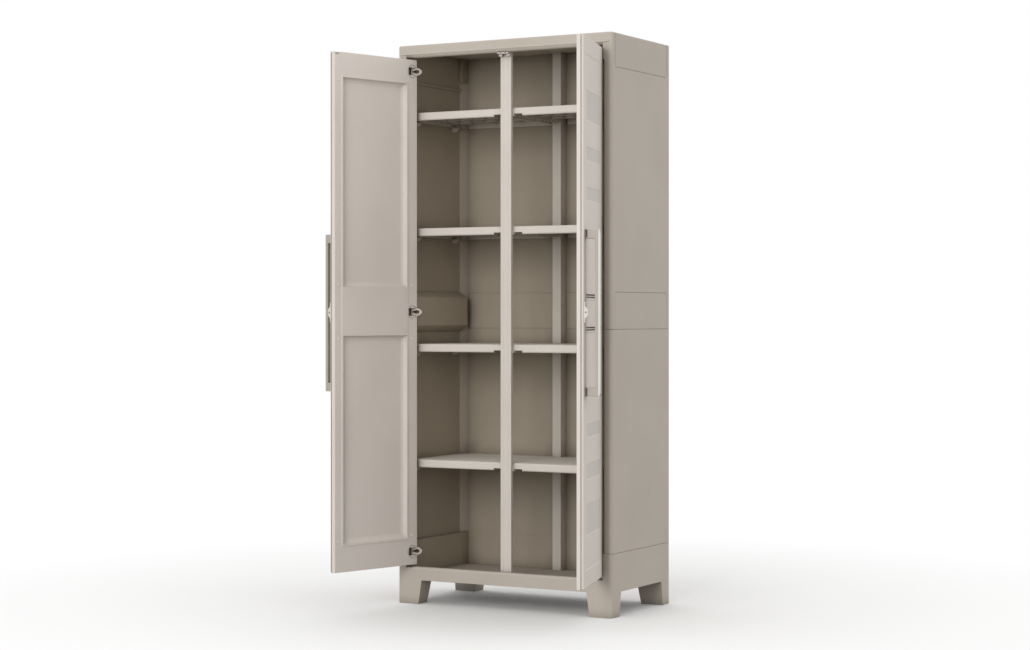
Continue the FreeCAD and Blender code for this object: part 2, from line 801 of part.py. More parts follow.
def arm_screws(z):
    made = []
    x = -opening_half + arm_foot_thickness
    for s in (-1, 1):
        zz = z + s * (arm_foot_height / 2 - arm_screw_margin)
        y = pin_y + arm_back
        shank = rod(x - screw_length, y, zz, screw_radius, screw_length, at(1, 0, 0))
        head = Part.makeCone(screw_head_radius, screw_head_radius * 0.7, screw_head_rise, at(x, y, zz),
                             at(1, 0, 0))
        made.append(join([shank, head]))
    return made


def pocket(z):
    """The hollow in a door that lets the arm in: open to the inner face and to the hinge edge."""
    half = arm_height / 2 + arm_gap
    return block(hinge_edge - 1, hinge_edge + pocket_length, front + door_wall, door_inner + 5,
                 z - half, z + half)


def door_shell():
    """The outer shell of the left door, closed: a tray with a lip, a groove and sunk fields."""
    lip_back = front + door_skin_lip
    step_back = lip_back + door_groove
    z0, z1 = door_bottom, door_top
    lip = prism([(hinge_edge, front, door_round), (free_edge, front, door_round), (free_edge, lip_back),
                 (hinge_edge, lip_back)], z0, z1)
    ends = [e for e in lip.Edges if e.BoundBox.YMax < front + 0.01 and e.BoundBox.ZLength < 0.01]
    lip = lip.makeFillet(min(door_end_round, door_skin_lip / 2), ends)
    step = block(hinge_edge + door_groove_depth, free_edge - door_groove_depth, lip_back, step_back,
                 z0 + door_groove_depth, z1 - door_groove_depth)
    inset = door_groove_depth + door_wall
    cavity = block(hinge_edge + inset, free_edge - inset, front + door_wall, step_back + 1,
                   z0 + inset, z1 - inset)
    body = join([lip, step]).cut(cavity)
    # a border stands proud round the sunk outer field, and darker fields are sunk again
    x0 = hinge_edge + outer_field_margin
    x1 = free_edge - outer_field_margin
    field_y = front + outer_field_sink
    field = frustum_y(x0, x1, z0 + outer_field_end, z1 - outer_field_end, outer_field_slope, front, field_y)
    vents = []
    strips = []
    low, high = vent_offsets
    for side in (-1, 1):
        ends = sorted((lock_middle + side * low, lock_middle + side * high))
        edge = vent_margin - vent_frame
        rim = vent_height / 2 + vent_frame
        strips.append(block(hinge_edge + edge, free_edge - edge, front - 1, field_y + 1,
                            ends[0] - rim, ends[1] + rim))
        vents += [block(hinge_edge + vent_margin, free_edge - vent_margin, front - 1, front + door_wall + 1,
                        z - vent_height / 2, z + vent_height / 2) for z in ends]
    cuts = [field.cut(strips)] + vents
    fields = [(z1 - drop, tall) for drop, tall in upper_sunk_fields]
    fields += [(z0 + rise, tall) for rise, tall in lower_sunk_fields]
    for z, tall in fields:
        cuts.append(frustum_y(x0 + sunk_margin, x1 - sunk_margin, z, z + tall, sunk_slope,
                              field_y - 0.01, field_y + sunk_depth))
    body = body.cut(cuts)
    notches = []
    for z in hinge_heights:
        half = arm_height / 2 + arm_gap
        room = arm_thickness / 2 + arm_gap
        arm = block(-arm_swing_length, 0, -room, room + arm_swing_room, z - half, z + half)
        arm.rotate(at(0, 0, 0), UP, largest_opening - arm_swing_lag)
        arm.translate(at(pin_x, pin_y, 0))
        notches.append(arm.common(block(hinge_edge - 1, pin_x, front + door_wall, door_inner, z - half,
                                        z + half)))
    return body.cut(notches)


def housing(z):
    """The solid round one hinge pocket that holds the two ends of its pin."""
    tall = arm_height / 2 + arm_gap + pin_hold
    x0 = hinge_edge + door_groove_depth + door_wall + housing_gap
    return block(x0, hinge_edge + pocket_length + pocket_margin, pin_y - housing_back,
                 door_inner - frame_wall / 2, z - tall, z + tall)


def recess(z0, z1, grow):
    """The sunk panel of a door's inner face, or the skin round it when grow is the wall."""
    x0 = hinge_edge + panel_hinge_margin - grow
    x1 = free_edge - panel_free_margin + grow
    # a steep edge, then a cove of two slopes that flattens out to the panel
    stages = ((0.0, -field_rise), (panel_edge_draw, panel_edge_depth + grow),
              (panel_cove_draw, panel_cove_depth + grow), (panel_bevel, panel_recess + grow))
    steps = []
    for (draw, depth_0), (next_draw, depth_1) in zip(stages, stages[1:]):
        steps.append(frustum_y(x0 + draw, x1 - draw, z0 - grow + draw, z1 + grow - draw, next_draw - draw,
                               door_inner - depth_0, door_inner - depth_1))
    return join(steps)


def raised_field(z0, z1):
    """The low step with bevelled edges that both panels and the rail between them stand on."""
    x0 = hinge_edge + panel_hinge_margin - field_border
    x1 = free_edge - panel_free_margin + field_border
    low, high = z0 - field_border, z1 + field_border
    step = frustum_y(x0, x1, low, high, field_rise, door_inner, door_inner + field_rise)
    root = block(x0, x1, door_inner - frame_wall / 2, door_inner, low, high)
    return join([step, root])


def catch_slot(z0, z1):
    """The slot near the free edge that a catch slides into as the door closes."""
    x = free_edge - catch_inset
    half = catch_width / 2 + catch_side_gap
    y = door_inner - catch_thickness - catch_gap
    return block(x - half, x + half, y, door_inner + 1, z0, z1)


def frame_screw_places():
    far = door_width - frame_screw_far
    heights = (door_top - panel_top_margin - frame_screw_above, middle_rail_top + frame_screw_above,
               middle_rail_bottom - frame_screw_below, door_bottom + panel_bottom_margin + frame_screw_below)
    return [(hinge_edge + s, z) for z in heights for s in (frame_screw_inset, far)]


def door_frame():
    """The inner shell of the left door, closed: two sunk panels, hinge pockets and screw holes."""
    back = door_inner - frame_depth
    z0, z1 = door_bottom, door_top
    body = prism([(hinge_edge, back), (free_edge, back), (free_edge, door_inner, inner_round),
                  (hinge_edge, door_inner, inner_round)], z0, z1)
    cavity = block(hinge_edge + frame_wall, free_edge - frame_wall, back - 1, door_inner - frame_wall,
                   z0 + frame_wall, z1 - frame_wall)
    panels = ((z0 + panel_bottom_margin, middle_rail_bottom), (middle_rail_top, z1 - panel_top_margin))
    bumps = [recess(low, high, frame_wall).common(block(hinge_edge, free_edge, front, door_inner, z0, z1))
             for low, high in panels]
    bumps.append(raised_field(panels[0][0], panels[1][1]))
    body = body.cut(cavity)
    pockets = [housing(z) for z in hinge_heights]
    catch_low = z1 - catch_engage - catch_gap
    catch_x = free_edge - catch_inset
    catch_half = catch_width / 2 + catch_side_gap + frame_wall
    catch_wall = block(catch_x - catch_half, min(catch_x + catch_half, free_edge - frame_wall / 2), back,
                       door_inner - frame_wall / 2, catch_low - frame_wall, z1)
    screw_posts = [rod(x, back, z, frame_screw_radius + frame_screw_wall, frame_depth - 1, at(0, 1, 0))
                   for x, z in frame_screw_places()]
    body = join([body] + bumps + pockets + [catch_wall] + screw_posts)
    cuts = [recess(low, high, 0.0) for low, high in panels]
    cuts += [pocket(z) for z in hinge_heights]
    cuts.append(catch_slot(catch_low, z1 + 1))
    cuts += [rod(x, back - 1, z, frame_screw_radius, frame_depth + 2, at(0, 1, 0))
             for x, z in frame_screw_places()]
    for z in hinge_heights:
        cuts.append(rod(pin_x, pin_y, z - pin_length / 2, pin_radius, pin_length, UP))
        cuts.append(cup_ring(z))
    return body.cut(cuts)


def frame_screws():
    """The screw bosses of a door's inner face, seen as small round heads."""
    back = door_inner - frame_depth
    made = []
    for x, z in frame_screw_places():
        shank = rod(x, back, z, frame_screw_radius, frame_depth, at(0, 1, 0))
        head = Part.makeCone(frame_screw_radius + frame_screw_flare, frame_screw_radius, frame_screw_rise,
                             at(x, door_inner, z), at(0, 1, 0))
        made.append(join([shank, head]))
    return made


def hinge_pins():
    return [rod(pin_x, pin_y, z - pin_length / 2, pin_radius, pin_length, UP) for z in hinge_heights]


def cup_ring(z):
    """The round rim of a hinge cup, let into the door's inner face round the pocket."""
    x = hinge_edge + cup_radius + cup_edge
    outer = rod(x, door_inner - cup_wall, z, cup_radius + cup_wall, cup_wall + cup_rise, at(0, 1, 0))
    inner = rod(x, door_inner - cup_wall - 1, z, cup_radius, cup_wall + cup_rise + 2, at(0, 1, 0))
    return outer.cut([inner, pocket(z)])


def handle():
    """The left door's bar handle, closed: a bar with a foot at each end, all corners rounded."""
    x1 = free_edge - handle_edge
    x0 = x1 - handle_bar_width
    y0 = front - handle_reach
    side = slab_yz([(front, handle_bottom), (y0, handle_bottom, handle_round), (y0, handle_top, handle_round),
                    (front, handle_top), (front, handle_top - handle_post_height),
                    (y0 + handle_bar_thickness, handle_top - handle_post_height, handle_round / 2),
                    (y0 + handle_bar_thickness, handle_bottom + handle_post_height, handle_round / 2),
                    (front, handle_bottom + handle_post_height)], x0, x1)
    shortest = handle_top - handle_bottom - 3 * handle_round
    long_edges = [e for e in side.Edges if abs(e.BoundBox.YMax - y0) < 0.01 and e.Length > shortest]
    side = side.makeFillet(min(handle_edge_round, handle_bar_width / 4), long_edges)
    # a slot at the root of each foot, on the side of the door's free edge
    slot_y = front - foot_slot_lift
    slots = [block(x1 - foot_slot_depth, x1 + 1, slot_y - foot_slot_width, slot_y,
                   z + foot_slot_margin, z + handle_post_height - foot_slot_margin)
             for z in (handle_bottom, handle_top - handle_post_height)]
    return side.cut(slots + handle_screw_rods(0.0))


def handle_screw_rods(head):
    x = free_edge - handle_edge - handle_bar_width / 2
    made = []
    for z in (handle_bottom + handle_post_height / 2, handle_top - handle_post_height / 2):
        shank = rod(x, front + door_wall, z, screw_radius, handle_screw_length, at(0, -1, 0))
        if head:
            cap = rod(x, front + door_wall, z, screw_head_radius, screw_head_rise, at(0, 1, 0))
            shank = join([shank, cap])
        made.append(shank)
    return made


def lock_plate():
    """The small plate on the outer face at the free edge, with the hump of the padlock eye."""
    x1 = free_edge - lock_edge
    x0 = x1 - lock_width
    z0 = lock_middle - lock_height / 2
    z1 = lock_middle + lock_height / 2
    plate = slab_xz(rectangle(x0, x1, z0, z1, lock_round), front - lock_thickness, front)
    tip = front - eye_reach
    ear = slab_yz([(front, lock_middle - eye_height / 2), (tip, lock_middle - eye_tip_height / 2, eye_round),
                   (tip, lock_middle + eye_tip_height / 2, eye_round), (front, lock_middle + eye_height / 2)],
                  x1 - eye_thickness, x1)
    hole = rod(x1 - eye_thickness - 1, tip + eye_hole_setback, lock_middle, eye_hole_radius,
               eye_thickness + 2, at(1, 0, 0))
    return join([plate, ear]).cut(hole)


def catches():
    """The two noses under the front post's clip head that slide into the slots of the closed doors."""
    x = free_edge - catch_inset
    half = catch_width / 2
    y1 = door_inner - 1.0
    nose = block(x - half, x + half, y1 - catch_thickness + 1.0, y1, door_top - catch_engage,
                 fascia_bottom - clip_head_gap - front_post_clip_rise + 1.0)
    return [nose, mirrored(nose)]


def opened(shape, side):
    """A piece of the closed left door, turned to its side's opening and mirrored on the right."""
    angle = left_opening if side < 0 else right_opening
    turned = shape.copy()
    turned.rotate(at(pin_x, pin_y, 0), UP, -angle)
    return turned if side < 0 else mirrored(turned)


def main():
    os.makedirs("parts", exist_ok=True)
    tops = [shelf_first + i * shelf_pitch for i in range(shelf_count)]
    holes = ledge_holes(tops)
    arm_holes = [s for z in hinge_heights for s in arm_screws(z)]
    base = base_unit()
    roof = top_unit()
    roof = roof.cut(arm_holes + [mirrored(s) for s in arm_holes])
    lower = side_lower().cut(holes + arm_holes)
    upper = side_upper().cut(holes + arm_holes)
    base = base.cut(arm_holes + [mirrored(s) for s in arm_holes])
    save("base_unit", base)
    save("top_unit", roof)
    backs = {"lower": back_panel(base_top, middle_joint, False),
             "upper": back_panel(middle_joint, upper_joint, True)}
    ledge_set = [s for top in tops for s in ledges(top)]
    for side, name in ((-1, "left"), (1, "right")):
        def put(shape, flip=side > 0):
            return mirrored(shape) if flip else shape
        save("side_panel_lower_" + name, put(lower))
        save("side_panel_upper_" + name, put(upper))
        for level, panel in backs.items():
            save("back_panel_" + level + "_" + name, put(panel))
        save("shelf_ledges_" + name, put(Part.makeCompound(ledge_set)))
        for place, z in zip(("bottom", "middle", "top"), hinge_heights):
            save("hinge_arm_" + place + "_" + name, put(hinge_arm(z)))
        save("hinge_arm_screws_" + name, put(Part.makeCompound(arm_holes)))
    save("rear_post", rear_post())
    save("front_post", front_post())
    for i, top in enumerate(tops, 1):
        save("shelf_" + str(i), shelf(top))
        save("shelf_beam_" + str(i), shelf_beam(top))
    door = {
        "door_outer_shell": door_shell().cut(handle_screw_rods(0.0)),
        "door_inner_shell": door_frame(),
        "door_frame_screws": Part.makeCompound(frame_screws()),
        "hinge_pins": Part.makeCompound(hinge_pins()),
        "hinge_cups": Part.makeCompound([cup_ring(z) for z in hinge_heights]),
        "handle": handle(),
        "handle_screws": Part.makeCompound(handle_screw_rods(1.0)),
        "lock_plate": lock_plate(),
    }
    for side, name in ((-1, "left"), (1, "right")):
        for piece, shape in door.items():
            save(piece + "_" + name, opened(shape, side))


main()
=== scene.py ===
import bpy
import json
import math
from mathutils import Matrix, Vector


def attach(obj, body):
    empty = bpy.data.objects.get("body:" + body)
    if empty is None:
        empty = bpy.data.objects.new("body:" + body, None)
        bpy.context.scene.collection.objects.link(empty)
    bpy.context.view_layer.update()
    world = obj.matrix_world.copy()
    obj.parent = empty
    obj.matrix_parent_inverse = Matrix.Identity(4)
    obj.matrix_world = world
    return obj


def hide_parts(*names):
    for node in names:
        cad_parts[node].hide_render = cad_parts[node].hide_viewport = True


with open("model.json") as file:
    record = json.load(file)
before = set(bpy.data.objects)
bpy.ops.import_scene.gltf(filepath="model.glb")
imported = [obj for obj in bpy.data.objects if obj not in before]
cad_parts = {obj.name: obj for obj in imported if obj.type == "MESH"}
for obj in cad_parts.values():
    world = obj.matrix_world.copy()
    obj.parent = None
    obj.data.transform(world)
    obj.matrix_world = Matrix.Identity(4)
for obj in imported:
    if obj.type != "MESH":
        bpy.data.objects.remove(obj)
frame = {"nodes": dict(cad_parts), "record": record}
scene = bpy.context.scene
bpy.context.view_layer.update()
nodes = frame["nodes"]
print("frame loaded:", len(nodes), "nodes")

# where a mix node keeps its two colours and its result
mixColourInputs, mixColourOutput = (6, 7), 2
pureWhite = (1.0, 1.0, 1.0, 1.0)
# a face looks along an axis when its normal's share on that axis is larger than this
squareOn = 0.9
# points nearer than this count as being in one place
near = 0.00001


def linear(hexColour):
    channels = [int(hexColour[i:i + 2], 16) / 255 for i in (1, 3, 5)]
    return tuple(c / 12.92 if c <= 0.04045 else ((c + 0.055) / 1.055) ** 2.4 for c in channels) + (1.0,)


def addNode(tree, kind, settings={}, inputs={}):
    # one node with its settings; an input that is another node's output becomes a link
    node = tree.nodes.new(kind)
    for name, value in settings.items():
        setattr(node, name, value)
    for name, value in inputs.items():
        if isinstance(value, bpy.types.NodeSocket):
            tree.links.new(value, node.inputs[name])
        else:
            node.inputs[name].default_value = value
    return node


def blend(tree, factor, first, second, mode="MIX"):
    # mixes two colours, each of them a fixed colour or another node's output
    mix = addNode(tree, "ShaderNodeMix", {"data_type": "RGBA", "blend_type": mode}, {"Factor": factor})
    for index, colour in zip(mixColourInputs, (first, second)):
        if isinstance(colour, bpy.types.NodeSocket):
            tree.links.new(colour, mix.inputs[index])
        else:
            mix.inputs[index].default_value = colour
    return mix.outputs[mixColourOutput]


def newMaterial(name):
    material = bpy.data.materials.new(name)
    material.use_nodes = True
    tree = material.node_tree
    shader = tree.nodes["Principled BSDF"]
    return material, tree, shader


# polypropylene, injection moulded in a spark-eroded mould: matte, with a fine even grain and faint broad
# changes of tone where the melt cooled; the edges get a slightly paler painted highlight
# each look's edge colour is the painted highlight on its edges
resins = {
    # matte taupe of the outer walls, the roof and the base
    "carcassResin": {"colour": "#C1B8AD", "patch": "#BCB3A8", "edge": "#D0C7BD", "roughness": 0.62},
    # the same resin inside, painted darker and warmer as painted shade of the interior
    "paintedShadeWallResin": {"colour": "#ADA291", "patch": "#A79C8C", "edge": "#BDB2A3", "roughness": 0.62},
    # light sand of the doors, a little smoother
    "doorResin": {"colour": "#E1D9D1", "patch": "#DCD4CC", "edge": "#ECE7E0", "roughness": 0.58},
    # light satin sand of the shelves and posts
    "shelfResin": {"colour": "#D8D1C8", "patch": "#D2CBC2", "edge": "#E4DED6", "roughness": 0.55},
    # satin taupe of the hinges and ledges, with clear pale painted highlights on the edges
    "hingeResin": {"colour": "#C8C0B6", "patch": "#BFB6AC", "edge": "#DAD3CA", "roughness": 0.5},
    # duller, coarser grain of the sunk fields
    "fieldResin": {"colour": "#D5D0C9", "patch": "#D0CBC4", "edge": "#DDD8D0", "roughness": 0.68},
    # painted light: paler tops of the shelves, where light from above falls
    "paintedLightShelfTopResin": {"colour": "#EFE9E1", "patch": "#E9E3DA", "edge": "#F3EEE8", "roughness": 0.5},
    # greyer sides of the handles
    "handleResin": {"colour": "#B6AFA5", "patch": "#B1AAA0", "edge": "#DED8CF", "roughness": 0.55},
    # painted highlight: nearly white, smooth front of the handles
    "paintedHighlightGripResin": {"colour": "#F3EFE9", "patch": "#EFEBE4", "edge": "#F6F3EE", "roughness": 0.45},
    # pale satin of the small caps
    "capResin": {"colour": "#E9E3DB", "patch": "#E4DED5", "edge": "#F2EDE6", "roughness": 0.5},
}
# the real grain is about 0.4 mm and too fine to show, so it is drawn 1.6 mm wide
grain = {"width": 0.0016, "height": 0.00006, "detail": 2.0, "fineShare": 0.6, "strength": 0.35}
# broad patches change the tone and the sheen
patch = {"width": 0.24, "detail": 3.0, "fineShare": 0.5, "low": 0.35, "high": 0.65, "sheenSwing": 0.05}
# edges look round within edgeRadius, and the more they turn away from the face the paler they are painted,
# as a painted highlight
edgeRoundingAndPaintedHighlight = {"edgeRadius": 0.0018, "flat": 0.97, "sharp": 0.80, "palest": 0.7, "rays": 4}
# painted shade greys the corners and the gaps, within reach of another face
paintedCornerShade = {"reach": 0.06, "tone": "#8F867B", "shut": 0.1, "open": 0.8, "rays": 4}
resinGloss = {"IOR": 1.49, "Specular IOR Level": 0.4}


def resinMaterial(name, look):
    material, tree, shader = newMaterial(name)
    place = addNode(tree, "ShaderNodeTexCoord").outputs["Object"]
    patches = addNode(tree, "ShaderNodeTexNoise", {}, {
        "Vector": place, "Scale": 1 / patch["width"], "Detail": patch["detail"],
        "Roughness": patch["fineShare"]}).outputs["Fac"]
    tone = addNode(tree, "ShaderNodeMapRange", {}, {
        "Value": patches, "From Min": patch["low"], "From Max": patch["high"]})
    body = blend(tree, tone.outputs["Result"], linear(look["patch"]), linear(look["colour"]))
    # rounded edges catch the light, and a painted highlight makes them a little paler
    rounded = addNode(tree, "ShaderNodeBevel", {"samples": edgeRoundingAndPaintedHighlight["rays"]},
                      {"Radius": edgeRoundingAndPaintedHighlight["edgeRadius"]}).outputs["Normal"]
    turned = addNode(tree, "ShaderNodeVectorMath", {"operation": "DOT_PRODUCT"})
    tree.links.new(rounded, turned.inputs[0])
    tree.links.new(addNode(tree, "ShaderNodeNewGeometry").outputs["True Normal"], turned.inputs[1])
    paintedHighlightShare = addNode(tree, "ShaderNodeMapRange", {}, {
        "Value": turned.outputs["Value"], "From Min": edgeRoundingAndPaintedHighlight["flat"], "From Max": edgeRoundingAndPaintedHighlight["sharp"],
        "To Min": 0.0, "To Max": edgeRoundingAndPaintedHighlight["palest"]})
    finished = blend(tree, paintedHighlightShare.outputs["Result"], body, linear(look["edge"]))
    # painted shade: ambient occlusion darkens the colour in corners and gaps, where shade falls
    corners = addNode(tree, "ShaderNodeAmbientOcclusion", {"samples": paintedCornerShade["rays"]},
                      {"Distance": paintedCornerShade["reach"]})
    unshadedShare = addNode(tree, "ShaderNodeMapRange", {}, {
        "Value": corners.outputs["AO"], "From Min": paintedCornerShade["shut"], "From Max": paintedCornerShade["open"]})
    paintedCornerTint = blend(tree, unshadedShare.outputs["Result"], linear(paintedCornerShade["tone"]), pureWhite)
    tree.links.new(blend(tree, 1.0, finished, paintedCornerTint, "MULTIPLY"), shader.inputs["Base Color"])
    grains = addNode(tree, "ShaderNodeTexNoise", {}, {
        "Vector": place, "Scale": 1 / grain["width"], "Detail": grain["detail"],
        "Roughness": grain["fineShare"]})
    bump = addNode(tree, "ShaderNodeBump", {}, {
        "Height": grains.outputs["Fac"], "Strength": grain["strength"], "Distance": grain["height"],
        "Normal": rounded})
    tree.links.new(bump.outputs["Normal"], shader.inputs["Normal"])
    sheen = addNode(tree, "ShaderNodeMapRange", {}, {
        "Value": patches, "To Min": look["roughness"] - patch["sheenSwing"],
        "To Max": look["roughness"] + patch["sheenSwing"]})
    tree.links.new(sheen.outputs["Result"], shader.inputs["Roughness"])
    for name, value in resinGloss.items():
        shader.inputs[name].default_value = value
    return material


# carbon steel, turned and zinc plated: bright grey, with a fine grain of darker specks
steel = {"dark": "#A9AAA8", "light": "#C4C5C2", "grain": 0.0008, "detail": 2.0,
         "smoothest": 0.28, "roughest": 0.42}


def steelMaterial(name):
    material, tree, shader = newMaterial(name)
    specks = addNode(tree, "ShaderNodeTexNoise", {}, {
        "Vector": addNode(tree, "ShaderNodeTexCoord").outputs["Object"], "Scale": 1 / steel["grain"],
        "Detail": steel["detail"]}).outputs["Fac"]
    rough = addNode(tree, "ShaderNodeMapRange", {}, {
        "Value": specks, "To Min": steel["smoothest"], "To Max": steel["roughest"]})
    tree.links.new(rough.outputs["Result"], shader.inputs["Roughness"])
    tree.links.new(blend(tree, specks, linear(steel["dark"]), linear(steel["light"])),
                   shader.inputs["Base Color"])
    shader.inputs["Metallic"].default_value = 1.0
    return material


materials = {name: resinMaterial(name, look) for name, look in resins.items()}
materials["zincSteel"] = steelMaterial("zincSteel")
# the first line whose beginnings fit a node's name gives its finish
finishes = (
    (("hinge_pins", "hinge_arm_screws", "handle_screws"), "zincSteel"),
    (("door_frame_screws",), "capResin"),
    (("door_outer", "door_inner", "handle", "lock_plate"), "doorResin"),
    (("hinge_", "shelf_ledges"), "hingeResin"),
    (("shelf", "front_post", "rear_post"), "shelfResin"),
    (("",), "carcassResin"),
)
shelfNodes = ("shelf_1", "shelf_2", "shelf_3", "shelf_4")
# the room inside the walls, over the base unit's floor
inside = {"halfWidth": 0.3765, "front": -0.1645, "back": 0.1985, "floor": 0.0905, "slant": 0.2}


def isShaded(face):
    # an upright inner face of the walls, apart from the slanted flanges in the corners
    place, facing = face.center, face.normal
    return (abs(place.x) < inside["halfWidth"] and inside["front"] < place.y < inside["back"]
            and place.z > inside["floor"] and abs(facing.z) < squareOn
            and min(abs(facing.x), abs(facing.y)) <= inside["slant"])


def coatFaces(node, finish, wanted):
    # a second finish on the faces that pass the test
    node.data.materials.append(materials[finish])
    for face in node.data.polygons:
        if wanted(face):
            face.material_index = 1


for nodeName, node in nodes.items():
    finish = next(finish for starts, finish in finishes if nodeName.startswith(starts))
    node.data.materials.clear()
    node.data.materials.append(materials[finish])
    if nodeName in shelfNodes:
        # painted light: the top of a shelf is painted paler, where light from above falls on it
        coatFaces(node, "paintedLightShelfTopResin", lambda face: face.normal.z > squareOn)
    elif finish == "carcassResin":
        # painted shade: the inner walls take a darker copy of the carcass resin
        coatFaces(node, "paintedShadeWallResin", isShaded)
print("materials made:", len(materials))


# the doors' own pieces are modelled on the closed left door, then turned to where the doors rest
hangs = {"pin": (-0.345, -0.200), "front": -0.210, "inner": -0.188, "hingeEdge": -0.3585, "freeEdge": -0.001}


def doorPlace(side):
    # from the closed left door to where this side's door rests
    joint = next(j for j in frame["record"]["behaviour"]["joints"] if j["child"] == side + "_door")
    pin = Matrix.Translation((hangs["pin"][0], hangs["pin"][1], 0.0))
    place = pin @ Matrix.Rotation(-math.radians(joint["range_deg"][1]), 4, "Z") @ pin.inverted()
    return Matrix.Scale(-1.0, 4, (1.0, 0.0, 0.0)) @ place if side == "right" else place


# the sunk fields of the outer faces have a coarser, duller mould grain than the smooth border
sunkField = {"deeperThan": 0.0013, "shallowerThan": 0.0025, "squareOn": 0.95}


def isSunk(face, closed):
    depth = (closed @ face.center).y - hangs["front"]
    return (sunkField["deeperThan"] < depth < sunkField["shallowerThan"]
            and (closed.to_3x3() @ face.normal).y < -sunkField["squareOn"])


for side in ("left", "right"):
    closed = doorPlace(side).inverted()
    coatFaces(nodes["door_outer_shell_" + side], "fieldResin", lambda face: isSunk(face, closed))
print("doors' sunk fields coated")


def deselectAll():
    bpy.ops.object.select_all(action="DESELECT")


def pickNone(kind):
    # edit mode on faces or edges with nothing selected, and back to object mode, where they are marked
    bpy.ops.object.mode_set(mode="EDIT")
    bpy.ops.mesh.select_mode(type=kind)
    bpy.ops.mesh.select_all(action="DESELECT")
    bpy.ops.object.mode_set(mode="OBJECT")


def pickFaces(piece, wanted):
    # selects the faces whose middle and normal pass the test, and leaves edit mode on
    pickNone("FACE")
    for face in piece.data.polygons:
        face.select = wanted(face.center, face.normal)
    bpy.ops.object.mode_set(mode="EDIT")


def pickEdges(piece, wanted):
    # selects the edges whose two ends pass the test, and leaves edit mode on
    pickNone("EDGE")
    points = piece.data.vertices
    for edge in piece.data.edges:
        edge.select = wanted(points[edge.vertices[0]].co, points[edge.vertices[1]].co)
    bpy.ops.object.mode_set(mode="EDIT")


def cutAcross(place, direction):
    bpy.ops.mesh.select_all(action="SELECT")
    bpy.ops.mesh.bisect(plane_co=place, plane_no=direction)


def pushFaces(shift):
    bpy.ops.mesh.extrude_region_move(TRANSFORM_OT_translate={"value": shift})


def mergeAndFace(distance):
    # in edit mode: doubled points become one, and all normals look outwards
    bpy.ops.mesh.select_all(action="SELECT")
    bpy.ops.mesh.remove_doubles(threshold=distance)
    bpy.ops.mesh.normals_make_consistent(inside=False)


def joinAll(pieces):
    deselectAll()
    for piece in pieces:
        piece.select_set(True)
    bpy.context.view_layer.objects.active = pieces[0]
    bpy.ops.object.join()
    return pieces[0]


softening = {"steps": 2, "sharpFrom": 40.0, "smoothBelow": 35.0}


def softenEdges(piece, width):
    # small rounds on all that is still sharp, then smooth shading over the rounds
    bpy.ops.object.mode_set(mode="OBJECT")
    soft = piece.modifiers.new("softEdges", "BEVEL")
    soft.width = width
    soft.segments = softening["steps"]
    soft.limit_method = "ANGLE"
    soft.angle_limit = math.radians(softening["sharpFrom"])
    bpy.ops.object.modifier_apply(modifier=soft.name)
    bpy.ops.object.shade_smooth_by_angle(angle=math.radians(softening["smoothBelow"]))


def addBlock(name, low, high):
    deselectAll()
    middle = [(a + b) / 2 for a, b in zip(low, high)]
    bpy.ops.mesh.primitive_cube_add(size=1.0, location=middle)
    piece = bpy.context.object
    piece.name = name
    piece.scale = [b - a for a, b in zip(low, high)]
    bpy.ops.object.transform_apply(location=True, rotation=True, scale=True)
    return piece


def hangOnDoors(piece, name, node):
    # one copy for each door, turned about its hinge pin to the door's rest angle; the right one is mirrored
    for side in ("left", "right"):
        deselectAll()
        hung = piece.copy()
        hung.data = piece.data.copy()
        hung.name = name + side.capitalize()
        scene.collection.objects.link(hung)
        hung.data.transform(doorPlace(side))
        bpy.context.view_layer.objects.active = hung
        hung.select_set(True)
        bpy.ops.object.mode_set(mode="EDIT")
        mergeAndFace(near / 10)
        bpy.ops.object.mode_set(mode="OBJECT")
        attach(hung, side + "_door")
        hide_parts(node + "_" + side)
    bpy.data.objects.remove(piece)


# bar handle: a rounded bar on two feet, each foot with a slot at its root
handle = {"low": 0.699, "high": 1.196, "edge": 0.018, "width": 0.024, "thickness": 0.014, "reach": 0.0445,
          "foot": 0.027, "barRound": 0.005, "roundSteps": 5, "slotWidth": 0.0065, "slotDepth": 0.007,
          "slotMargin": 0.0025, "slotLift": 0.0015, "softRound": 0.0008, "frontShare": 0.25}


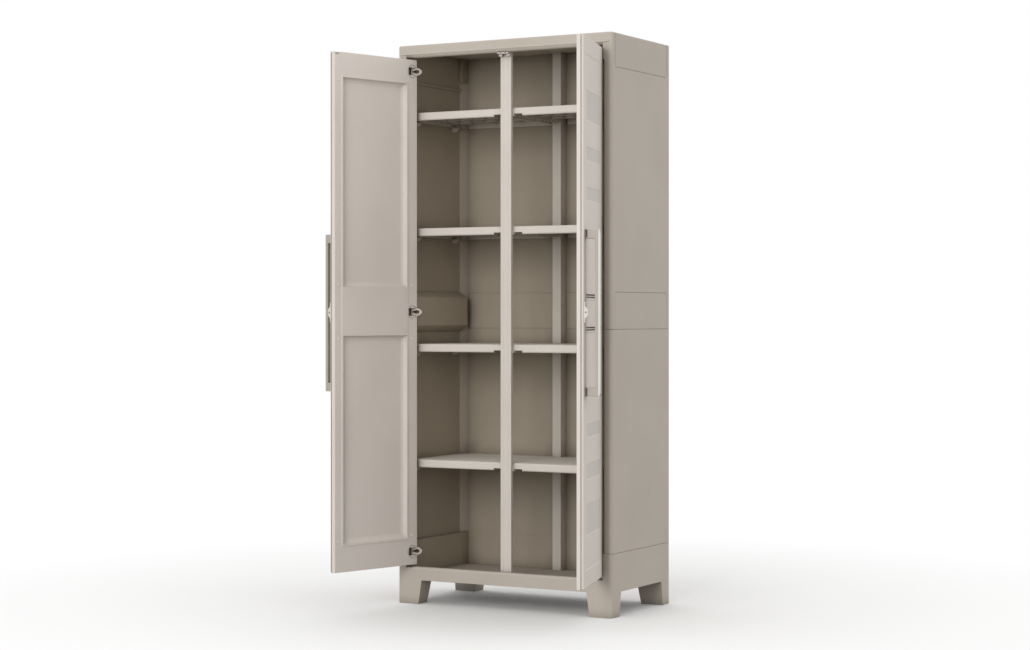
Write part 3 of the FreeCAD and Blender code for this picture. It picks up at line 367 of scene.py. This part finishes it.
def makeHandle():
    x1 = hangs["freeEdge"] - handle["edge"]
    x0 = x1 - handle["width"]
    y0 = hangs["front"] - handle["reach"]
    y1 = y0 + handle["thickness"]
    z0, z1 = handle["low"], handle["high"]
    footTop, footBottom = z0 + handle["foot"], z1 - handle["foot"]
    bar = addBlock("handle", (x0, y0, z0), (x1, y1, z1))
    bpy.ops.object.mode_set(mode="EDIT")
    for z in (footTop, footBottom):
        cutAcross((0, 0, z), (0, 0, 1))
    # the back grows out to the door at both ends
    pickFaces(bar, lambda place, facing: facing.y > squareOn and not footTop < place.z < footBottom)
    pushFaces((0, hangs["front"] - y1, 0))
    slotBack = hangs["front"] - handle["slotLift"]
    slotFront = slotBack - handle["slotWidth"]
    margin = handle["slotMargin"]
    slots = ((z0 + margin, footTop - margin), (footBottom + margin, z1 - margin))
    for y in (slotFront, slotBack):
        cutAcross((0, y, 0), (0, 1, 0))
    for z in slots[0] + slots[1]:
        cutAcross((0, 0, z), (0, 0, 1))
    pickFaces(bar, lambda place, facing: facing.x > squareOn and slotFront < place.y < slotBack
              and any(low < place.z < high for low, high in slots))
    pushFaces((-handle["slotDepth"], 0, 0))
    # the edges round the front of the bar
    pickEdges(bar, lambda a, b: abs(a.y - y0) < near and abs(b.y - y0) < near
              and (abs(a.x - b.x) < near and min(abs(a.x - x0), abs(a.x - x1)) < near
                   or abs(a.z - b.z) < near and min(abs(a.z - z0), abs(a.z - z1)) < near))
    bpy.ops.mesh.bevel(offset=handle["barRound"], segments=handle["roundSteps"], affect="EDGES")
    softenEdges(bar, handle["softRound"])
    bar.data.materials.append(materials["handleResin"])
    # painted highlight: the front of the bar is painted nearly white, where the light catches it
    coatFaces(bar, "paintedHighlightGripResin", lambda face: face.normal.y < -handle["frontShare"])
    return bar


hangOnDoors(makeHandle(), "barHandle", "handle")
print("handles made")


# caps of the frame screws: a flared head with a shallow dish, on a plain shank
cap = {"radius": 0.0045, "flare": 0.0015, "rise": 0.001, "depth": 0.0125, "rim": 0.0011, "dish": 0.0007,
       "sides": 32, "fromHinge": (0.024, 0.3385), "heights": (1.6855, 1.038, 0.866, 0.224),
       "softRound": 0.0002}


def makeCaps():
    deselectAll()
    inner = hangs["inner"]
    bpy.ops.mesh.primitive_cylinder_add(vertices=cap["sides"], radius=cap["radius"], depth=cap["depth"],
                                        location=(0, inner - cap["depth"] / 2, 0),
                                        rotation=(math.radians(-90), 0, 0))
    first = bpy.context.object
    first.name = "frameCap"
    bpy.ops.object.transform_apply(location=True, rotation=True, scale=True)
    # the shank's outer end spreads to the head, rises to its smaller top and sinks to the dish
    pickFaces(first, lambda place, facing: facing.y > squareOn and place.y > inner - near)
    pushFaces((0, 0, 0))
    wide = (cap["radius"] + cap["flare"]) / cap["radius"]
    bpy.ops.transform.resize(value=(wide, wide, wide), center_override=(0, inner, 0))
    pushFaces((0, cap["rise"], 0))
    bpy.ops.transform.resize(value=(1 / wide, 1, 1 / wide), center_override=(0, inner, 0))
    bpy.ops.mesh.inset(thickness=cap["rim"], depth=0.0)
    bpy.ops.mesh.inset(thickness=cap["dish"], depth=-cap["dish"])
    softenEdges(first, cap["softRound"])
    first.data.materials.append(materials["capResin"])
    heads = []
    for z in cap["heights"]:
        for across in cap["fromHinge"]:
            head = first.copy()
            head.data = first.data.copy()
            head.data.transform(Matrix.Translation((hangs["hingeEdge"] + across, 0, z)))
            scene.collection.objects.link(head)
            heads.append(head)
    bpy.data.objects.remove(first)
    return joinAll(heads)


hangOnDoors(makeCaps(), "frameCaps", "door_frame_screws")
print("frame screw caps made")


# round rims of the hinge cups, open where the hinge's arm comes out
cup = {"radius": 0.019, "wall": 0.0022, "rise": 0.0012, "fromHinge": 0.022, "gapHalf": 42.0,
       "heights": (0.170, 0.951, 1.735), "steps": 64, "merge": 0.00003, "softRound": 0.0006}


def makeCups():
    middleX = hangs["hingeEdge"] + cup["fromHinge"]
    # the rim's section stands at one side of the gap and is spun round to the other
    start = math.radians(180.0 + cup["gapHalf"])
    sweep = math.radians(360.0 - 2 * cup["gapHalf"])
    rims = []
    for z in cup["heights"]:
        rim = addBlock("cupRim", (cup["radius"], hangs["inner"] - cup["wall"], -near),
                       (cup["radius"] + cup["wall"], hangs["inner"] + cup["rise"], near))
        pickFaces(rim, lambda place, facing: facing.z < squareOn)
        bpy.ops.mesh.delete(type="FACE")
        bpy.ops.mesh.select_all(action="SELECT")
        bpy.ops.transform.rotate(value=start, orient_axis="Y", center_override=(0, 0, 0))
        bpy.ops.mesh.spin(steps=cup["steps"], angle=sweep, center=(0, 0, 0), axis=(0, 1, 0))
        mergeAndFace(cup["merge"])
        softenEdges(rim, cup["softRound"])
        rim.data.materials.append(materials["hingeResin"])
        rim.data.transform(Matrix.Translation((middleX, 0, z)))
        rims.append(rim)
    return joinAll(rims)


hangOnDoors(makeCups(), "cupRims", "hinge_cups")
print("hinge cup rims made")


# an even white studio with one soft lamp in front and a weak one at the right
studio = {"ambient": 0.92, "aim": (0.0, -0.1, 0.92)}
lamps = {
    # name: place, size, watts
    "frontLamp": ((0.6, -5.8, 2.1), 2.4, 110.0),
    "sideLamp": ((5.0, 1.2, 1.6), 2.4, 20.0),
}
# the floor keeps the shadow near the object and turns to plain white farther out
ground = {"size": 60.0, "drop": 0.0005, "seen": "#F4F4F3", "bounce": "#9A9894", "roughness": 0.9,
          "fadeFrom": 0.7, "fadeTo": 2.2}
view = {"place": (3.4562, -6.2661, 0.9441), "tilt": -0.285, "turn": 29.3735, "lens": 76.50, "sensor": 36.0}

scene.view_settings.view_transform = "Standard"
world = bpy.data.worlds.new("studioWhite")
scene.world = world
world.use_nodes = True
sky = world.node_tree
sky.nodes.clear()
# the background looks plain white, also in mirrors and through clear pieces, but lights at the ambient level
rays = addNode(sky, "ShaderNodeLightPath")
mirrored = addNode(sky, "ShaderNodeMath", {"operation": "MAXIMUM"})
sky.links.new(rays.outputs["Is Glossy Ray"], mirrored.inputs[0])
sky.links.new(rays.outputs["Is Transmission Ray"], mirrored.inputs[1])
seen = addNode(sky, "ShaderNodeMath", {"operation": "MAXIMUM"})
sky.links.new(rays.outputs["Is Camera Ray"], seen.inputs[0])
sky.links.new(mirrored.outputs[0], seen.inputs[1])
both = addNode(sky, "ShaderNodeMixShader", {}, {"Fac": seen.outputs[0]})
for index, strength in ((1, studio["ambient"]), (2, 1.0)):
    glow = addNode(sky, "ShaderNodeBackground", {}, {"Color": pureWhite, "Strength": strength})
    sky.links.new(glow.outputs[0], both.inputs[index])
addNode(sky, "ShaderNodeOutputWorld", {}, {"Surface": both.outputs[0]})

deselectAll()
bpy.ops.mesh.primitive_plane_add(size=ground["size"], location=(0, 0, -ground["drop"]))
floor = bpy.context.object
floor.name = "floor"
floorMaterial, floorTree, floorShader = newMaterial("paleFloor")
floorShader.inputs["Roughness"].default_value = ground["roughness"]
away = addNode(floorTree, "ShaderNodeVectorMath", {"operation": "LENGTH"},
               {"Vector": addNode(floorTree, "ShaderNodeTexCoord").outputs["Object"]})
fade = addNode(floorTree, "ShaderNodeMapRange", {}, {
    "Value": away.outputs["Value"], "From Min": ground["fadeFrom"], "From Max": ground["fadeTo"]})
toCamera = addNode(floorTree, "ShaderNodeLightPath").outputs["Is Camera Ray"]
floorTree.links.new(blend(floorTree, toCamera, linear(ground["bounce"]), linear(ground["seen"])),
                    floorShader.inputs["Base Color"])
shown = addNode(floorTree, "ShaderNodeMath", {"operation": "MULTIPLY"})
floorTree.links.new(fade.outputs["Result"], shown.inputs[0])
floorTree.links.new(toCamera, shown.inputs[1])
plain = addNode(floorTree, "ShaderNodeEmission", {}, {"Strength": 1.0})
floorMix = addNode(floorTree, "ShaderNodeMixShader", {}, {"Fac": shown.outputs[0]})
floorTree.links.new(floorShader.outputs[0], floorMix.inputs[1])
floorTree.links.new(plain.outputs[0], floorMix.inputs[2])
floorTree.links.new(floorMix.outputs[0], floorTree.nodes["Material Output"].inputs["Surface"])
floor.data.materials.append(floorMaterial)

for name, (place, size, watts) in lamps.items():
    data = bpy.data.lights.new(name, "AREA")
    data.shape = "SQUARE"
    data.size = size
    data.energy = watts
    lamp = bpy.data.objects.new(name, data)
    lamp.location = place
    lamp.rotation_euler = (Vector(studio["aim"]) - Vector(place)).to_track_quat("-Z", "Y").to_euler()
    scene.collection.objects.link(lamp)

cameraData = bpy.data.cameras.new("photoCamera")
cameraData.lens = view["lens"]
cameraData.sensor_width = view["sensor"]
cameraData.sensor_fit = "HORIZONTAL"
camera = bpy.data.objects.new("photoCamera", cameraData)
camera.location = view["place"]
camera.rotation_euler = (math.radians(90 + view["tilt"]), 0.0, math.radians(view["turn"]))
scene.collection.objects.link(camera)
scene.camera = camera
print("floor, lamps and camera placed")
